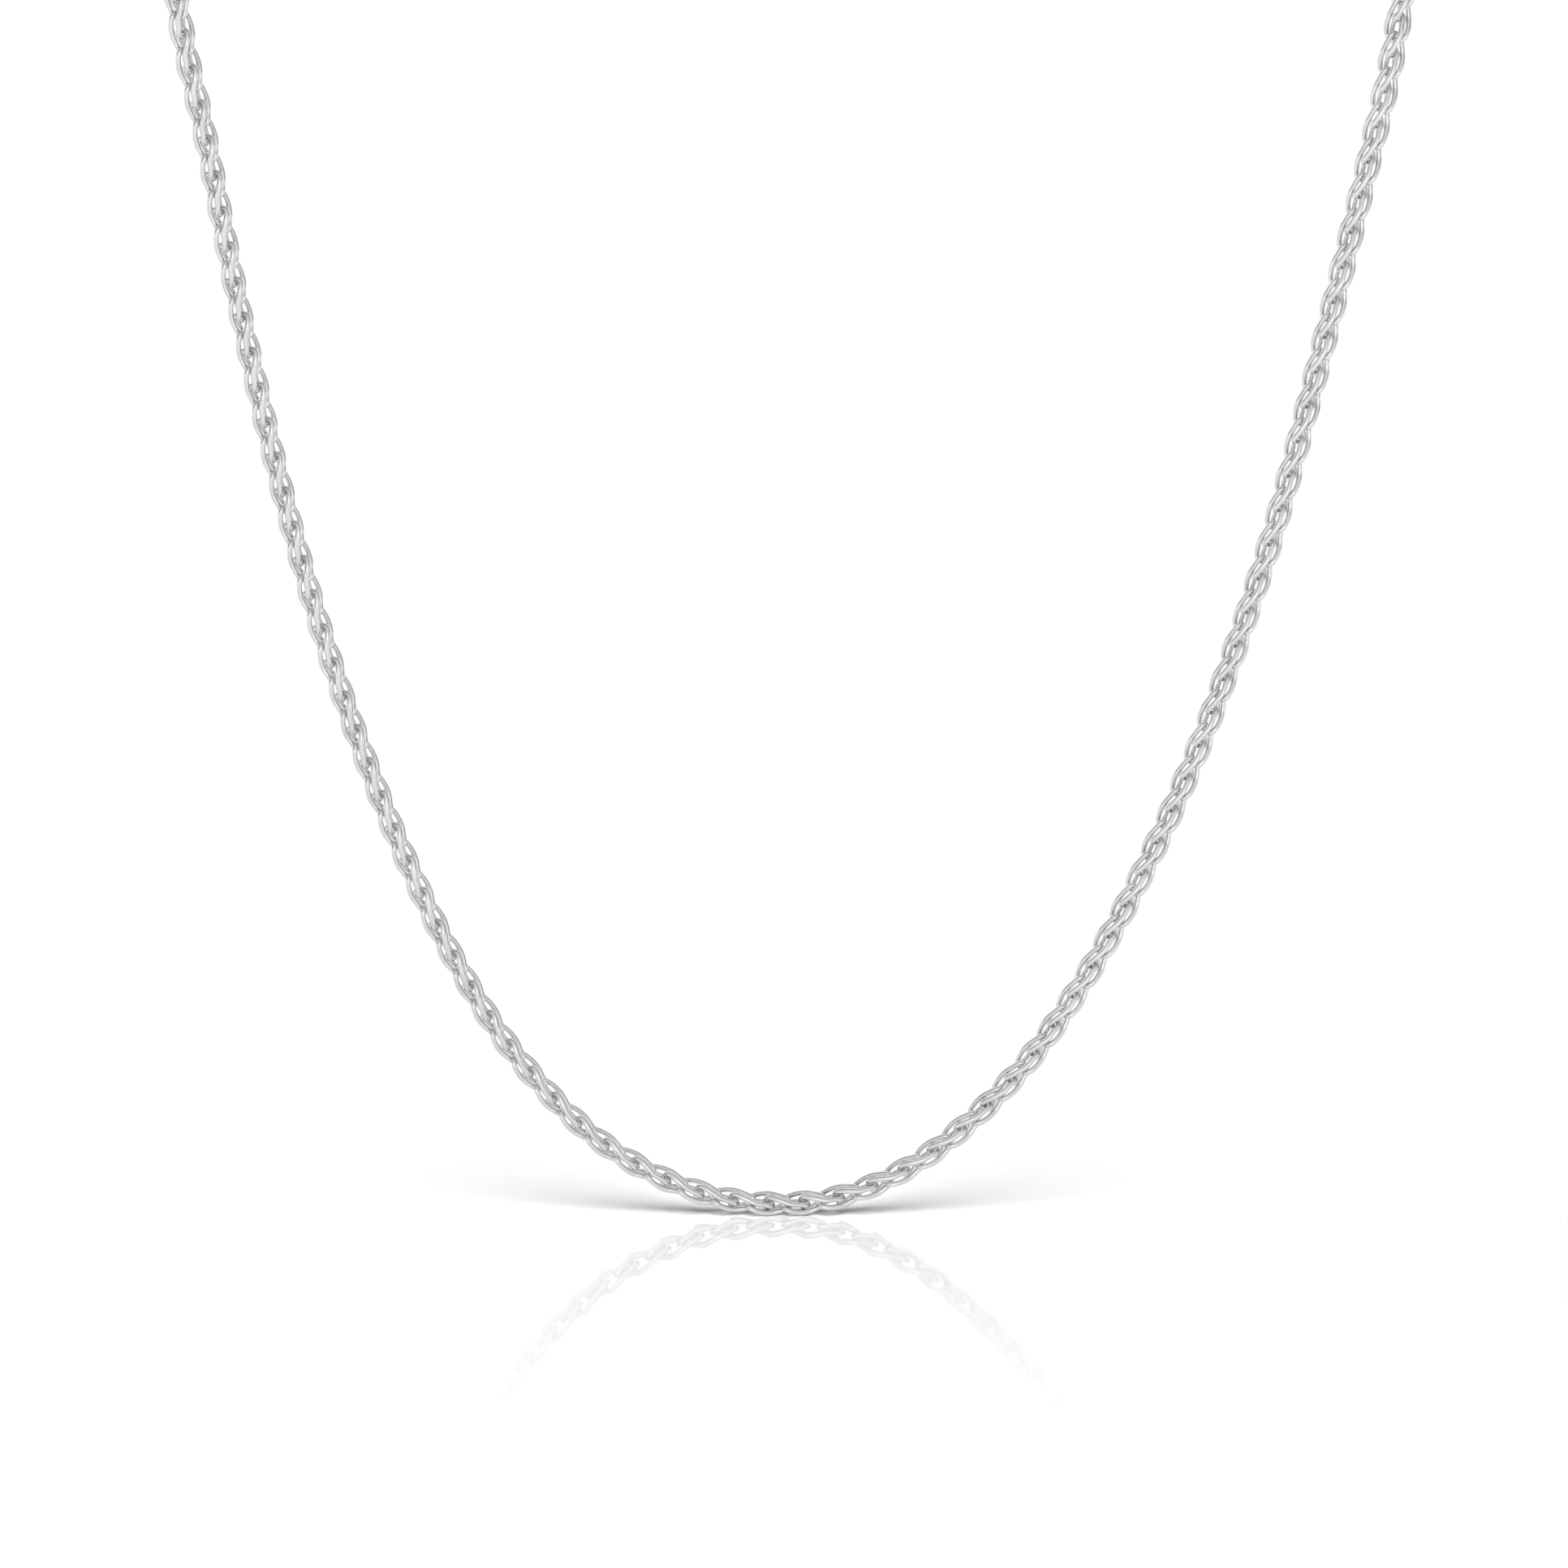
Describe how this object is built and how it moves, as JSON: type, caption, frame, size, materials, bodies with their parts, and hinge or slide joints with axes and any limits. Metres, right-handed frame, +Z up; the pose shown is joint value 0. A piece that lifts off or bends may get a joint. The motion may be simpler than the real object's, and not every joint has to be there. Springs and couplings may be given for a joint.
{
  "type": "wheat chain necklace",
  "caption": "Hanging necklace of polished woven wheat chain in white metal, closed at the nape by a small clasp between two wire rings.",
  "frame": {"origin": "middle of the clasp at the nape, where the necklace hangs", "axes": "+Z up, the chain hangs down along -Z; +X to the right as the wearer's front is seen; -Y towards the viewer, out of the loop's plane"},
  "size_m": [0.127, 0.0048, 0.163],
  "materials": {
    "chain_metal": "polished white metal",
    "ring_metal": "polished white metal",
    "clasp_metal": "polished white metal"
  },
  "bodies": {
    "root": {"wheat_chain": "chain_metal", "end_ring_left": "ring_metal", "end_ring_right": "ring_metal", "jump_ring": "ring_metal", "catch_ring": "ring_metal", "clasp": "clasp_metal"}
  },
  "joints": []
}
